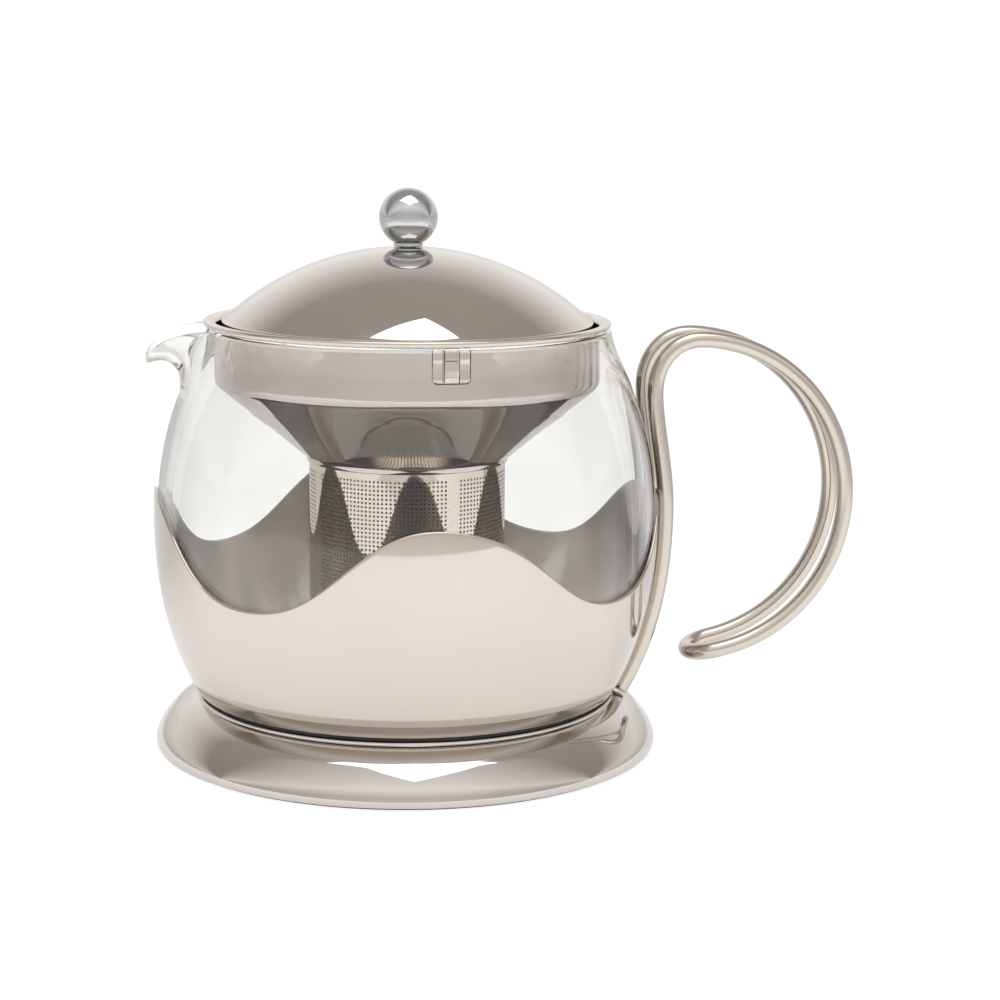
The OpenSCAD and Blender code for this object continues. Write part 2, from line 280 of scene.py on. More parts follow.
class Material(Nodes):
    def __init__(self, name):
        self.mat = bpy.data.materials.new(name)
        self.mat.use_nodes = True
        super().__init__(self.mat.node_tree)
        self.out = self.add("ShaderNodeOutputMaterial")

    def finish(self, shader):
        self.tree.links.new(shader.outputs[0], self.out.inputs[0])
        return self.mat

    def object_xyz(self):
        return self.add("ShaderNodeTexCoord").outputs["Object"]

    def ring_coords(self, arc_radius=0.075, up=1.0, out=1.0):
        """(arc length at arc_radius, z, radius) of a point about Z, in metres."""
        x, y, z = self.add("ShaderNodeSeparateXYZ", {0: self.object_xyz()}).outputs
        around = self.math("MULTIPLY", self.math("ARCTAN2", y, x), arc_radius)
        square = self.math("ADD", self.math("MULTIPLY", x, x), self.math("MULTIPLY", y, y))
        radius = self.math("SQRT", square)
        return self.add("ShaderNodeCombineXYZ", {
            0: around, 1: self.math("MULTIPLY", z, up),
            2: self.math("MULTIPLY", radius, out)}).outputs[0]

    def noise(self, vector, scale=1.0, detail=2.0, rough=0.5):
        return self.add("ShaderNodeTexNoise", {
            "Vector": vector, "Scale": scale, "Detail": detail, "Roughness": rough}).outputs["Fac"]

    def stretch(self, vector, scale):
        return self.add("ShaderNodeMapping", {"Vector": vector, "Scale": scale}).outputs[0]

    def bump(self, height, distance, normal=None):
        node = self.add("ShaderNodeBump", {"Height": height, "Distance": distance, "Strength": 1.0})
        if normal is not None:
            self.set(node, "Normal", normal)
        return node.outputs[0]

    def mix_rgb(self, factor, first, second):
        node = self.add("ShaderNodeMix", {0: factor, 6: first, 7: second}, data_type="RGBA")
        return node.outputs[2]


def steel(name, color, rough, wave=0.000012, grain=None, grain_rough=0.0,
          scratch=0.00000035, tint=0.04, wave_scale=38, bands=0.0):
    """Stainless steel. rough: range of roughness; wave, wave_scale: waviness of the sheet, depth
    in metres; scratch: depth of the hairlines; tint: colour drift; bands: darkening in upright
    streaks; grain: brushing frequency (around, up, out), with its change of roughness."""
    n = Material(name)
    xyz = n.object_xyz()
    drift = n.noise(xyz, scale=24)
    fine = n.noise(xyz, scale=900, detail=3, rough=0.6)
    smear = n.noise(n.stretch(xyz, scale=(1, 1, 0.25)), scale=60, detail=4, rough=0.6)
    base = (*color, 1)
    dark = (*[c * (1 - tint) for c in color], 1)
    shade = n.mix_rgb(n.remap(drift, source=(0.3, 0.7)), dark, base)
    if bands:
        streak = n.noise(n.stretch(n.ring_coords(), scale=(52, 7, 1)), detail=3, rough=0.55)
        banded = (*[c * (1 - bands) for c in color], 1)
        shade = n.mix_rgb(n.remap(streak, source=(0.35, 0.68)), banded, shade)
    gloss = n.remap(smear, source=(0.25, 0.75), target=rough)
    gloss = n.math("ADD", gloss, n.remap(fine, source=(0.3, 0.7), target=(-0.006, 0.006)))
    normal = n.bump(n.noise(xyz, scale=wave_scale, detail=1, rough=0.4), distance=wave)
    around_hair = n.noise(n.stretch(n.ring_coords(), scale=(18, 900, 18)), rough=0.7)
    cross_hair = n.noise(n.stretch(xyz, scale=(1400, 90, 90)), rough=0.7)
    normal = n.bump(around_hair, distance=scratch, normal=normal)
    normal = n.bump(cross_hair, distance=scratch * 0.6, normal=normal)
    if grain:
        brushed = n.noise(n.stretch(n.ring_coords(), scale=grain), detail=3, rough=0.65)
        change = n.remap(brushed, source=(0.3, 0.7), target=(-grain_rough, grain_rough))
        gloss = n.math("ADD", gloss, change)
        normal = n.bump(brushed, distance=0.000004, normal=normal)
    return n.finish(n.add("ShaderNodeBsdfPrincipled", {
        "Base Color": shade, "Metallic": 1.0, "Roughness": gloss, "Normal": normal}))


def clear_glass(name):
    """Slightly wavy glass that lets light, and rays already mirrored twice, straight through."""
    n = Material(name)
    xyz = n.object_xyz()
    ripple = n.noise(n.stretch(xyz, scale=(1, 1, 0.6)), scale=26, detail=1, rough=0.4)
    normal = n.bump(ripple, distance=0.00005)
    haze = n.noise(xyz, scale=300, detail=3, rough=0.6)
    rough = n.remap(haze, source=(0.45, 0.8), target=(0.0, 0.004))
    glass = n.add("ShaderNodeBsdfPrincipled", {
        "Base Color": (0.935, 0.935, 0.926, 1), "Roughness": rough, "IOR": 1.47,
        "Transmission Weight": 1.0, "Normal": normal})
    clear = n.add("ShaderNodeBsdfTransparent", {"Color": (0.975, 0.975, 0.972, 1)})
    path = n.add("ShaderNodeLightPath").outputs
    passes = n.math("MAXIMUM", path["Is Shadow Ray"], path["Is Diffuse Ray"])
    passes = n.math("MAXIMUM", passes, n.math("GREATER_THAN", path["Glossy Depth"], 1.5))
    return n.finish(n.add("ShaderNodeMixShader",
                          {0: passes, 1: glass.outputs[0], 2: clear.outputs[0]}))


def soft(name, color, rough, speck, bump=0.00003, grain_scale=420, subsurface=0.0):
    """Rubber or silicone: matt, faintly blotched by speck, grained to the depth bump."""
    n = Material(name)
    xyz = n.object_xyz()
    grain = n.noise(xyz, scale=grain_scale, detail=4, rough=0.6)
    blotch = n.noise(xyz, scale=40)
    shade = n.mix_rgb(n.remap(blotch, source=(0.3, 0.7)),
                      (*[max(c - speck, 0) for c in color], 1),
                      (*[min(c + speck, 1) for c in color], 1))
    normal = n.bump(grain, distance=bump)
    gloss = n.remap(n.noise(xyz, scale=90, detail=3), source=(0.3, 0.7),
                    target=(rough - 0.1, rough + 0.12))
    surface = n.add("ShaderNodeBsdfPrincipled", {
        "Base Color": shade, "Roughness": gloss, "Normal": normal, "Sheen Weight": 0.15})
    if subsurface:
        n.set(surface, "Subsurface Weight", subsurface)
        n.set(surface, "Subsurface Scale", 0.002)
    return n.finish(surface)


EVEN_GRAIN = (900, 900, 900)
CRADLE_STEEL = steel("cradle_polish", (0.605, 0.555, 0.507), rough=(0.035, 0.075))
CRADLE_INSIDE = steel("cradle_inside", (0.70, 0.66, 0.62), rough=(0.13, 0.20),
                      grain=(26, 1500, 30), grain_rough=0.03, wave=0.00003, bands=0.13)
LID_STEEL = steel("lid_polish", (0.60, 0.56, 0.525), rough=(0.010, 0.024), wave=0.000010)
BASE_STEEL = steel("base_polish", (0.60, 0.565, 0.53), rough=(0.014, 0.032))
BASE_UNDERSIDE = steel("base_underside", (0.62, 0.61, 0.59), rough=(0.25, 0.38), wave=0.00002,
                       grain=(40, 40, 2600), grain_rough=0.05)
ROD_STEEL = steel("rod_satin", (0.60, 0.55, 0.495), rough=(0.15, 0.23), wave=0.000010,
                  scratch=0.0000008, tint=0.06, wave_scale=160)
ROD_END = steel("rod_cut_end", (0.55, 0.53, 0.50), rough=(0.3, 0.45), wave=0.00002,
                grain=(2000, 200, 2000), grain_rough=0.05)
FUNNEL_STEEL = steel("funnel_polish", (0.64, 0.588, 0.55), rough=(0.02, 0.05), wave=0.000022,
                     bands=0.05)
BASKET_STEEL = steel("basket_sheet", (0.70, 0.64, 0.575), rough=(0.03, 0.06))
# near-black steel on the basket's inside, hole walls and cut edges: painted shade for the dim
# inside of the basket
BASKET_INSIDE_SHADE = steel("basket_sheet_inside_painted_shade", (0.10, 0.075, 0.055), rough=(0.35, 0.5),
                      wave=0.00002, grain=EVEN_GRAIN, grain_rough=0.05)
CLIP_STEEL = steel("clip_spring", (0.68, 0.63, 0.585), rough=(0.06, 0.12), wave=0.00002,
                   scratch=0.000001)
# near-black steel on the clip's margins: painted shade for the crevice between clip and collar
CLIP_PAINTED_SHADE = steel("clip_painted_crevice_shade", (0.055, 0.036, 0.018), rough=(0.25, 0.4), wave=0.00002,
                  grain=EVEN_GRAIN, grain_rough=0.05)
KNOB_STEEL = steel("knob_polish", (0.545, 0.565, 0.59), rough=(0.012, 0.03), wave=0.000003,
                   tint=0.02)
MACHINED_STEEL = steel("machined_steel", (0.60, 0.60, 0.59), rough=(0.22, 0.4), wave=0.00002,
                       grain=(1500, 1500, 1500), grain_rough=0.05, scratch=0.000001)
SKIRT_STEEL = steel("skirt_sheet", (0.68, 0.66, 0.635), rough=(0.14, 0.24), wave=0.00002,
                    grain=(30, 1600, 30), grain_rough=0.04)
GLASS = clear_glass("clear_glass")
BLACK_RUBBER = soft("black_rubber", (0.022, 0.021, 0.02), rough=0.55, speck=0.008)
PAD_RUBBER = soft("foot_rubber", (0.05, 0.045, 0.04), rough=0.65, speck=0.012, bump=0.00006,
                  grain_scale=260)
SILICONE = soft("milky_silicone", (0.72, 0.72, 0.70), rough=0.45, speck=0.03, subsurface=0.2)

# ------------------------------------------------------------------ glass bowl
GLASS_T = 2.1
MOUTH_R = 58.5
WALL_TOP = 106.0      # the neck and the lip begin here
WALL_STEPS = 46
NECK_STEPS = 30
LIP_HALF = 17.0       # half the width of the pouring lip, degrees


def bowl_below(bottom_z, corner, inset):
    """Floor, rounded corner and wall up to WALL_TOP, from the axis outwards."""
    corner_end = 21   # degrees below level where the corner meets the wall
    centre_z = bottom_z + corner
    wall_z = centre_z - corner * math.sin(math.radians(corner_end))
    centre_r = (float(glass_radius(wall_z)) - inset
                - corner * math.cos(math.radians(corner_end)))
    heights = np.linspace(wall_z, WALL_TOP, WALL_STEPS + 1)[1:]
    return join(level([centre_r * part for part in (0, 0.25, 0.5, 0.75, 0.92)], bottom_z),
                arc(centre_r, centre_z, corner, -90, -corner_end, 14),
                np.stack([glass_radius(heights) - inset, heights], 1))


def rounded_over(outer, inner, top):
    """The outer and the inner line, joined by a rounded edge through top."""
    start, end = outer[-1], inner[-1]
    t = np.linspace(0, 1, 11)[1:-1, None]
    pull = 2 * np.array(top) - (start + end) / 2
    edge = (1 - t) ** 2 * start + 2 * t * (1 - t) * pull + t * t * end
    return np.concatenate([outer, edge, inner[::-1]])


def build_glass():
    low, high = SPANS["glass_bowl"]
    rim_z = high[2]
    rim_r = MOUTH_R + GLASS_T - 0.2
    lip_r = -low[0]
    tip = lip_r - 0.15
    wall_r = float(glass_radius(WALL_TOP))

    def neck(inset, *points):
        return bezier([wall_r - inset, WALL_TOP], *points, NECK_STEPS)[1:]

    plain = rounded_over(
        neck(0, [65.0, 114.6], [60.6, 120.8], [rim_r, rim_z - 0.95]),
        neck(GLASS_T, [62.8, 114.6], [58.5, 119.6], [MOUTH_R, rim_z - 0.95]),
        [(MOUTH_R + rim_r) / 2, rim_z])
    lip = rounded_over(
        neck(0, [65.8, 113.3], [tip - 7.2, 118.2], [tip - 0.95, 115.5]),
        neck(GLASS_T, [63.6, 114.2], [tip - 9.0, 122.2], [tip - 0.35, 117.4]),
        [lip_r, 116.25])
    outside = bowl_below(low[2], 8, 0)
    inside = bowl_below(low[2] + GLASS_T + 0.6, 6, GLASS_T)[::-1]
    first, last = len(outside), len(outside) + len(plain)

    def pour(radius, z, turn, j):
        """Draws the neck out into the lip around -X."""
        radii, heights = np.full(len(turn), radius), np.full(len(turn), z)
        if first <= j < last:
            lip_point = lip[j - first]
            off = np.degrees(np.abs(turn % TAU - math.pi))
            share = np.where(off < LIP_HALF, np.cos(np.radians(90 * off / LIP_HALF)) ** 2, 0)
            radii = radius + (lip_point[0] - radius) * np.sin(np.radians(90 * share))
            heights = z + (lip_point[1] - z) * (1 - np.cos(np.radians(90 * share)))
        return radii, heights

    # closer steps across the lip than round the rest
    half = math.radians(LIP_HALF)
    across_lip = math.pi + np.radians(np.linspace(-LIP_HALF, LIP_HALF, 69)[:-1])
    around_rest = math.pi + half + np.linspace(0, TAU - 2 * half, 173)[:-1]
    glass = spun("glass_bowl_blown", np.concatenate([outside, plain, inside]), [GLASS],
                 angles=np.concatenate([across_lip, around_rest]), warp=pour, closed=False,
                 sharp=80)
    stand_for(glass, "pot", "glass_bowl")


# ------------------------------------------------------------------ cradle with its wavy edge
CRADLE_T = 0.9
WAVE_HEIGHT = 13.45
WAVE_TURN = math.radians(1.6)
CRADLE_ROWS = 72
CRADLE_COLUMNS = 384


def wave_shape(turn):
    """Four waves round the pot, with broad crests and troughs, from about -1 to 1."""
    phase = 4 * (turn - WAVE_TURN)
    return (np.cos(phase) + 0.015 * np.cos(2 * phase) - 0.02 * np.sin(2 * phase)
            - 0.047 * np.cos(3 * phase) - 0.015 * np.sin(3 * phase))


def cradle_corner(z, radii, end_z, inset, steps):
    """Flat floor and rounded corner; radii are where the floor ends and the two pulls."""
    flat_end, pull_start, pull_end = radii
    return join(level((0, 20, 40, 55, flat_end), z),
                bezier([flat_end, z], [pull_start, z], [pull_end, z + 0.5],
                       [float(cradle_radius(end_z)) - inset, end_z], steps))


def build_cradle():
    low, high = SPANS["cradle"]
    bottom = low[2]
    floor_z = bottom + CRADLE_T
    crest = float(wave_shape(np.linspace(0, TAU, 3600)).max())
    turn = np.linspace(0, TAU, CRADLE_COLUMNS, endpoint=False)
    edge = high[2] - WAVE_HEIGHT * crest + WAVE_HEIGHT * wave_shape(turn)
    outer_corner = cradle_corner(bottom, (61.9, 62.8, 63.2), bottom + 1.5, 0, 12)
    inner_corner = cradle_corner(floor_z, (60.6, 61.8, 62.3), bottom + 2.6, CRADLE_T, 10)
    round_r = CRADLE_T / 2

    def wall(corner, top, inset):
        start = corner[-1][1]
        z = start + (top - start) * np.linspace(0, 1, CRADLE_ROWS + 1)[1:]
        return np.stack([cradle_radius(z) - inset, z], 1)

    columns = []
    over = np.linspace(0, math.pi, 9)[1:-1]
    for wave_z in edge:
        # the edge is rounded over by half a sheet
        top = wave_z - round_r
        middle = float(cradle_radius(top)) - round_r
        cap = np.stack([middle + round_r * np.cos(over), top + round_r * np.sin(over)], 1)
        columns.append(np.concatenate([
            outer_corner[1:], wall(outer_corner, top, 0), cap,
            wall(inner_corner, top, CRADLE_T)[::-1], inner_corner[1:][::-1]]))
    columns = np.array(columns)
    rows = columns.shape[1]
    # the first two vertices are the middles of the underside and of the inner floor
    verts = [(0, 0, bottom), (0, 0, floor_z)]
    for j in range(rows):
        radii = columns[:, j, 0]
        verts.extend(zip(radii * np.cos(turn), radii * np.sin(turn), columns[:, j, 1]))
    faces, face_mats = [], []
    outer_rows = len(outer_corner) - 1 + CRADLE_ROWS + len(over)
    last = 2 + (rows - 1) * CRADLE_COLUMNS
    for i in range(CRADLE_COLUMNS):
        k = (i + 1) % CRADLE_COLUMNS
        faces.append([0, 2 + k, 2 + i])
        face_mats.append(0)
        for j in range(rows - 1):
            ring = 2 + j * CRADLE_COLUMNS
            after = ring + CRADLE_COLUMNS
            faces.append([ring + i, ring + k, after + k, after + i])
            face_mats.append(0 if j < outer_rows else 1)
        faces.append([1, last + i, last + k])
        face_mats.append(1)
    cradle = new_object("cradle_cup", verts, faces, [CRADLE_STEEL, CRADLE_INSIDE], face_mats,
                        sharp=60)
    stand_for(cradle, "pot", "cradle")


# ------------------------------------------------------------------ handle rod
ROD_R = 2.5
ROD_HALF = SPANS["handle_rod"][1][1] - ROD_R    # from the plane y = 0 to each leg's centre line
ROD_SIDES = 28
BEND_X, BEND_Z = 86.5, 107.4                    # centre of the upper bend
BEND_START_X = 73.4
LOOP_LOW = 26.3                                 # lowest height of the outer loop's ellipse
# rounding of both cut ends: distance from the end, share of the rod's radius
ROD_ENDS = np.array([(0.0, 0.80), (0.08, 0.90), (0.25, 0.975), (0.5, 1.0)])


def rod_on_cradle(z):
    """Centre (x, z) of a leg that rests on the cradle near height z."""
    slope = float(cradle_radius(z + 0.5) - cradle_radius(z - 0.5))
    gap = (ROD_R + 0.02) / math.sqrt(1 + slope * slope)
    radius = float(cradle_radius(z)) + gap
    return [math.sqrt(radius * radius - ROD_HALF * ROD_HALF), z - gap * slope]


def rod_leg():
    """Centre line (x, z) of one leg: up the cradle, over the bend, and down the outer loop."""
    high = SPANS["handle_rod"][1]
    top, reach = high[2] - ROD_R, high[0] - ROD_R
    on_cradle = np.array([rod_on_cradle(z) for z in np.linspace(16.6, 76, 60)])
    t = np.linspace(0, 1, 40)[1:-1, None]
    rise = ((2 * t ** 3 - 3 * t ** 2 + 1) * on_cradle[-1]
            + (t ** 3 - 2 * t ** 2 + t) * np.array([-2.5, 31])
            + (-2 * t ** 3 + 3 * t ** 2) * np.array([BEND_START_X, BEND_Z])
            + (t ** 3 - t ** 2) * np.array([0, 22]))
    bend = arc(BEND_X, BEND_Z, BEND_X - BEND_START_X, 180, 90, 40, radius_z=top - BEND_Z)
    loop = arc(BEND_X, (top + LOOP_LOW) / 2, reach - BEND_X, 90, -79, 120,
               radius_z=(top - LOOP_LOW) / 2)[1:]
    leg = np.concatenate([on_cradle, rise, bend, loop])
    # even spacing and a light smoothing where the arcs meet
    length = np.concatenate([[0], np.cumsum(np.hypot(*np.diff(leg, axis=0).T))])
    even = np.linspace(0, length[-1], 260)
    leg = np.stack([np.interp(even, length, leg[:, 0]), np.interp(even, length, leg[:, 1])], 1)
    for _ in range(12):
        leg[1:-1] = leg[1:-1] * 0.5 + (leg[:-2] + leg[2:]) * 0.25
    return leg


def build_handle():
    leg = rod_leg()
    slopes = tangents(leg)
    end, slope = leg[-1], slopes[-1]
    # stations: point, direction along the rod, direction across it
    stations = [([p[0], -ROD_HALF, p[1]], [s[0], 0, s[1]], [-s[1], 0, s[0]])
                for p, s in zip(leg, slopes)]
    for turn in np.radians(np.linspace(0, 180, 42)[1:-1]):
        out = ROD_HALF * math.sin(turn)
        stations.append((
            [end[0] + slope[0] * out, -ROD_HALF * math.cos(turn), end[1] + slope[1] * out],
            [slope[0] * math.cos(turn), math.sin(turn), slope[1] * math.cos(turn)],
            [-slope[1], 0, slope[0]]))
    stations += [([p[0], ROD_HALF, p[1]], [-s[0], 0, -s[1]], [-s[1], 0, s[0]])
                 for p, s in zip(leg[::-1], slopes[::-1])]
    points, along, across = np.array(stations).transpose(1, 0, 2)
    third = np.cross(along, across)

    # the first and last two stations give way to the rounded ends
    back, share = ROD_ENDS[:, :1], ROD_ENDS[:, 1]
    path = np.concatenate([points[0] + along[0] * back, points[2:-2],
                           points[-1] - along[-1] * back[::-1]])
    ends = len(ROD_ENDS)
    source = [0] * ends + list(range(2, len(points) - 2)) + [-1] * ends
    scale = np.concatenate([share, np.ones(len(points) - 4), share[::-1]])[:, None]
    across, third = across[source] * scale, third[source] * scale

    circle = [(ROD_R * math.cos(TAU * k / ROD_SIDES), ROD_R * math.sin(TAU * k / ROD_SIDES))
              for k in range(ROD_SIDES)]
    verts = [p + e * u + f * v for p, e, f in zip(path, across, third) for u, v in circle]
    faces = []
    for j in range(len(path) - 1):
        ring, after = j * ROD_SIDES, (j + 1) * ROD_SIDES
        for i in range(ROD_SIDES):
            k = (i + 1) % ROD_SIDES
            faces.append([ring + i, ring + k, after + k, after + i])
    faces.append(list(range(ROD_SIDES))[::-1])
    faces.append([(len(path) - 1) * ROD_SIDES + i for i in range(ROD_SIDES)])
    handle = new_object("handle_hairpin", verts, faces, [ROD_STEEL, ROD_END], sharp=60)
    for poly in handle.data.polygons:
        if len(poly.vertices) > 4:
            poly.material_index = 1
    stand_for(handle, "pot", "handle_rod")


# ------------------------------------------------------------------ base
BASE_T = 0.95
BASE_HOLE_R = 2.2
BASE_HOLE_RING = 40


def build_base():
    low, high = SPANS["base_pedestal"]
    outer, top, bottom = high[0], high[2], low[2]
    flare = join(
        bezier([62.9, top - 0.80], [64.8, top - 1.34], [68.3, 13.0], [70.2, 11.0], 26),
        bezier([70.2, 11.0], [72.3, 8.8], [outer - 0.2, 5.4], [outer, 2.2], 30),
        bezier([outer, 2.2], [outer + 0.01, 1.6], [outer - 0.03, bottom + 0.45],
               [outer - 0.33, bottom + 0.1], 10))
    upper = join(
        level((0, 20, 40, 52, 61.3), top), arc(62.32, top - 0.46, 0.46, 88, -5, 10),
        bezier([62.78, top - 0.54], [62.77, top - 0.66], [62.8, top - 0.76], flare[0], 4),
        flare[1:])
    under = beside(flare, BASE_T)
    hem = half_round(flare[-1], under[-1], tangents(flare)[-1] * BASE_T / 4)
    section = join(upper, hem, under[::-1], level((61.9, 52, 40, 20, 0), top - BASE_T))
    polished = len(upper) + 4    # the polish ends halfway round the hem
    base = spun("base_dome", section, [BASE_STEEL, BASE_UNDERSIDE], steps=256, closed=False,
                pick=lambda j: 0 if j < polished else 1)
    drill_base(base, top)
    stand_for(base, "pot", "base_pedestal")


def drill_base(base, top):
    """Three holes through the flat top, cut into the mesh."""
    cutters = []
    for degrees in (0, 120, 240):
        turn = math.radians(degrees)
        bpy.ops.mesh.primitive_cylinder_add(
            vertices=48, radius=BASE_HOLE_R * MM, depth=4 * MM,
            location=(BASE_HOLE_RING * MM * math.cos(turn), BASE_HOLE_RING * MM * math.sin(turn),
                      (top - 0.5) * MM))
        cutters.append(bpy.context.active_object)
    for cutter in cutters:
        cut = base.modifiers.new("hole", "BOOLEAN")
        cut.operation = "DIFFERENCE"
        cut.object = cutter
        cut.solver = "EXACT"
    depsgraph = bpy.context.evaluated_depsgraph_get()
    drilled = bpy.data.meshes.new_from_object(base.evaluated_get(depsgraph), depsgraph=depsgraph)
    base.modifiers.clear()
    base.data = drilled
    drilled.set_sharp_from_angle(angle=math.radians(38))
    for cutter in cutters:
        bpy.data.objects.remove(cutter)


def build_gasket():
    """A slightly bulging ring in the seam."""
    low, high = SPANS["base_gasket"]
    bottom, top, outer = low[2], high[2], high[0]
    inner = 52
    loop = join([[inner, bottom], [outer - 0.5, bottom]],
                arc(outer - 0.45, (bottom + top) / 2, 0.45, -80, 80, 8,
                    radius_z=(top - bottom) / 2),
                [[outer - 0.5, top], [inner, top]])
    gasket = spun("base_gasket_ring", loop, [BLACK_RUBBER])
    stand_for(gasket, "pot", "base_gasket")


def build_foot():
    """Disc with a rounded edge, a raised rim on top and shallow grooves underneath."""
    high = SPANS["foot_pad"][1]
    outer, top = high[0], high[2]
    plate_z = 1.6
    under = [[0, 0.0]]
    for groove in (20, 32, 44, 56, 66):
        under += [[groove - 0.7, 0.0], [groove - 0.45, 0.35],
                  [groove + 0.45, 0.35], [groove + 0.7, 0.0]]
    loop = join(
        under, [[outer - 0.5, 0]], arc(outer - 0.5, 0.5, 0.5, -90, 0, 6), [[outer, 1.2]],
        arc(outer - 0.4, 1.2, 0.4, 0, 60, 4), [[outer - 0.35, 1.7], [outer - 0.35, top - 0.25]],
        arc(outer - 0.6, top - 0.25, 0.25, 0, 90, 4),
        [[outer - 3.1, top], [outer - 3.35, top - 0.2], [outer - 3.5, plate_z],
         [40, plate_z], [0, plate_z]])
    foot = spun("foot_pad_disc", loop, [PAD_RUBBER], closed=False)
    stand_for(foot, "pot", "foot_pad")


# ------------------------------------------------------------------ infuser funnel
FUNNEL_T = 0.6
BEAD_R = 0.8          # rolled rim
SHOULDER_R = 4
SHOULDER_Z = 111.5
CONE_SLOPE = math.radians(40)


def build_funnel():
    """Upright collar with an outward rolled rim, a cone, and a short neck round the basket."""
    low, high = SPANS["infuser_funnel"]
    bead_x, bottom, top = high[0], low[2], high[2]
    cone_top = np.array([COLLAR_R - SHOULDER_R + SHOULDER_R * math.sin(CONE_SLOPE),
                         SHOULDER_Z - SHOULDER_R * math.cos(CONE_SLOPE)])
    low_r = BASKET_R + 2.0
    cone_low = np.array([low_r, cone_top[1] - (cone_top[0] - low_r) * math.tan(CONE_SLOPE)])
    downhill = np.array([-math.cos(CONE_SLOPE), -math.sin(CONE_SLOPE)])
    neck_r = BASKET_R + 0.75
    neck = bezier(cone_low, cone_low + 1.6 * downhill, [neck_r, bottom + 2.6],
                  [neck_r, bottom + 0.3], 10)
    outside = join([[COLLAR_R + 0.5, 126.9], [COLLAR_R, 126.3]],
                   np.stack([np.full(22, COLLAR_R), np.linspace(126.1, SHOULDER_Z, 22)], 1),
                   arc(COLLAR_R - SHOULDER_R, SHOULDER_Z, SHOULDER_R, 0, -50, 14)[1:],
                   np.linspace(cone_top, cone_low, 26)[1:], neck[1:])
    neck_edge = [[neck_r - 0.08, bottom + 0.08], [neck_r - 0.3, bottom],
                 [neck_r - 0.52, bottom + 0.08]]
    into_rim = bezier([COLLAR_R - FUNNEL_T, 126.0], [COLLAR_R - FUNNEL_T, 127.2],
                      [COLLAR_R + 0.1, top], [bead_x - 1.4, top], 12)
    loop = join(outside, neck_edge, beside(outside, FUNNEL_T)[::-1][:-4], into_rim,
                arc(bead_x - BEAD_R, top - BEAD_R, BEAD_R, 95, -150, 22))
    funnel = spun("infuser_collar_cone", loop, [FUNNEL_STEEL], steps=256, sharp=45)
    stand_for(funnel, "infuser", "infuser_funnel")


# ------------------------------------------------------------------ perforated basket
PANELS = 4
PANEL_HOLES = 34      # perforated columns in a panel
PANEL_BLANK = 3       # plain columns before them
HOLE_ROWS = 35
COLUMNS = PANELS * (PANEL_HOLES + PANEL_BLANK)
COLUMN_TURN = TAU / COLUMNS
HOLE_PITCH = TAU * BASKET_R / COLUMNS
WALL_HOLE_R = 0.345
SEAM_TURN = math.radians(-73.0)


def basket_wall_mesh():
    """Two skins of square cells, an eight-sided hole in each perforated cell, and their joins."""
    low, high = SPANS["basket_wall"]
    top = high[2]
    rows = [top, top - 1.5, top - 3.0]
    first = len(rows)
    rows += [top - 4.6 - i * HOLE_PITCH for i in range(HOLE_ROWS + 1)]
    last_hole = rows[-1]
    rows += [last_hole - (last_hole - low[2]) * part for part in (0.33, 0.66, 1.0)]
    last = len(rows) - 1
    skins = (BASKET_R, BASKET_R - SHEET_T)
    verts, faces, corners, rings = [], [], {}, {}

    def add_vert(radius, turn, z):
        verts.append((radius * math.cos(turn), radius * math.sin(turn), z))
        return len(verts) - 1

    def corner(i, j, skin):
        key = (i % COLUMNS, j, skin)
        if key not in corners:
            corners[key] = add_vert(skins[skin], SEAM_TURN + key[0] * COLUMN_TURN, rows[j])
        return corners[key]

    for skin in (0, 1):
        for i in range(COLUMNS):
            perforated = i % (PANEL_HOLES + PANEL_BLANK) >= PANEL_BLANK
            for j in range(last):
                quad = [corner(i + x, j + y, skin) for x, y in ((0, 0), (1, 0), (1, 1), (0, 1))]
                if not (perforated and first <= j < first + HOLE_ROWS):
                    faces.append(quad)
                    continue
                middle = SEAM_TURN + (i + 0.5) * COLUMN_TURN
                middle_z = (rows[j] + rows[j + 1]) / 2
                ring = []
                for k in range(8):
                    t = math.radians(-157.5 + 45 * k)
                    ring.append(add_vert(skins[skin],
                                         middle + WALL_HOLE_R * math.cos(t) / BASKET_R,
                                         middle_z - WALL_HOLE_R * math.sin(t)))
                rings[i, j, skin] = ring
                # each side of the cell faces one side of the hole, each corner another
                for k in range(4):
                    near, far = ring[2 * k + 1], ring[(2 * k + 2) % 8]
                    faces.append([quad[k], quad[(k + 1) % 4], far, near])
                    faces.append([quad[k], near, ring[2 * k]])
    for i in range(COLUMNS):
        for j in range(last):
            if (i, j, 0) in rings:
                outer, inner = rings[i, j, 0], rings[i, j, 1]
                for k in range(8):
                    m = (k + 1) % 8
                    faces.append([outer[k], outer[m], inner[m], inner[k]])
        for j in (0, last):
            faces.append([corner(i, j, 0), corner(i + 1, j, 0),
                          corner(i + 1, j, 1), corner(i, j, 1)])
    return verts, faces


def build_basket_wall():
    verts, faces = basket_wall_mesh()
    # faces that touch the inner skin take the painted shade
    outside = [math.hypot(x, y) > BASKET_R - SHEET_T / 2 for x, y, z in verts]
    basket = new_object("basket_perforated_wall", verts, faces, [BASKET_STEEL, BASKET_INSIDE_SHADE],
                        [0 if all(outside[i] for i in face) else 1 for face in faces], sharp=50)
    stand_for(basket, "infuser", "basket_wall")


FLOOR_PITCH = 1.25
FLOOR_HOLE_R = 0.32
HOLED_R = 26.2        # floor holes lie within this radius


